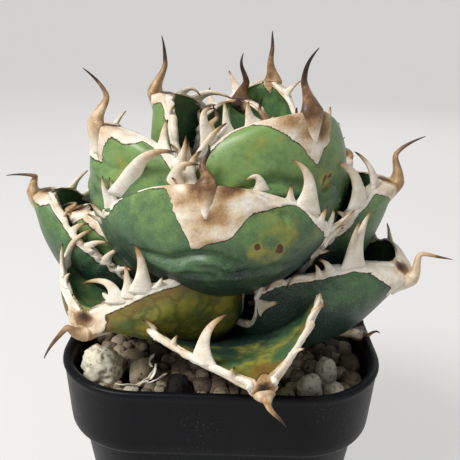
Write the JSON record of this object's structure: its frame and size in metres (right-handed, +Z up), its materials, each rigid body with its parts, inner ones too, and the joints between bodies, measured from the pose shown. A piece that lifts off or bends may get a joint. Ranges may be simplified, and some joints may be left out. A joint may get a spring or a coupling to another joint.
{
  "type": "potted agave",
  "caption": "Compact rosette succulent with broad cupped leaves, pale corky toothed margins and long spines, in a square tapered black nursery pot with gravel.",
  "frame": {"origin": "centre of the pot's flat underside, where it stands", "axes": "+Z up along the pot's axis; -Y towards the front wall of the square pot, the side that the largest leaf faces; +X to the right"},
  "size_m": [0.1521, 0.1407, 0.197],
  "materials": {
    "pot_plastic": "satin",
    "potting_mix": "matte",
    "stem": "matte",
    "leaf": "satin",
    "corky_margin": "matte",
    "dried_leaf": "matte",
    "pale_pumice": "matte",
    "brown_gravel": "matte",
    "dark_lava": "matte"
  },
  "bodies": {
    "root": {"pot": "pot_plastic", "potting_mix": "potting_mix", "stem_with_roots": "stem", "centre_bud": "leaf", "leaf_01": "leaf", "leaf_02": "leaf", "leaf_03": "leaf", "leaf_04": "leaf", "leaf_05": "leaf", "leaf_06": "leaf", "leaf_07": "leaf", "leaf_08": "leaf", "leaf_09": "leaf", "leaf_10": "leaf", "leaf_11": "leaf", "leaf_12": "leaf", "leaf_13": "leaf", "leaf_14": "leaf", "leaf_15": "leaf", "leaf_16": "leaf", "leaf_17": "leaf", "leaf_18": "leaf", "leaf_19": "leaf", "leaf_20": "leaf", "leaf_21": "leaf", "leaf_22": "leaf", "leaf_23": "leaf", "dried_leaf": "dried_leaf", "dried_margin_strip": "corky_margin", "stone_lump": "pale_pumice", "stone_01": "brown_gravel", "stone_02": "brown_gravel", "stone_03": "pale_pumice", "stone_04": "dark_lava", "stone_05": "brown_gravel", "stone_06": "brown_gravel", "stone_07": "brown_gravel", "stone_08": "brown_gravel", "stone_09": "pale_pumice", "stone_10": "pale_pumice", "stone_11": "pale_pumice", "stone_12": "brown_gravel", "stone_13": "brown_gravel", "stone_14": "brown_gravel", "stone_15": "brown_gravel", "stone_16": "brown_gravel", "stone_17": "brown_gravel", "stone_18": "pale_pumice", "stone_19": "pale_pumice", "stone_20": "brown_gravel", "stone_21": "pale_pumice", "stone_22": "brown_gravel", "stone_23": "pale_pumice", "stone_24": "brown_gravel"}
  },
  "joints": []
}
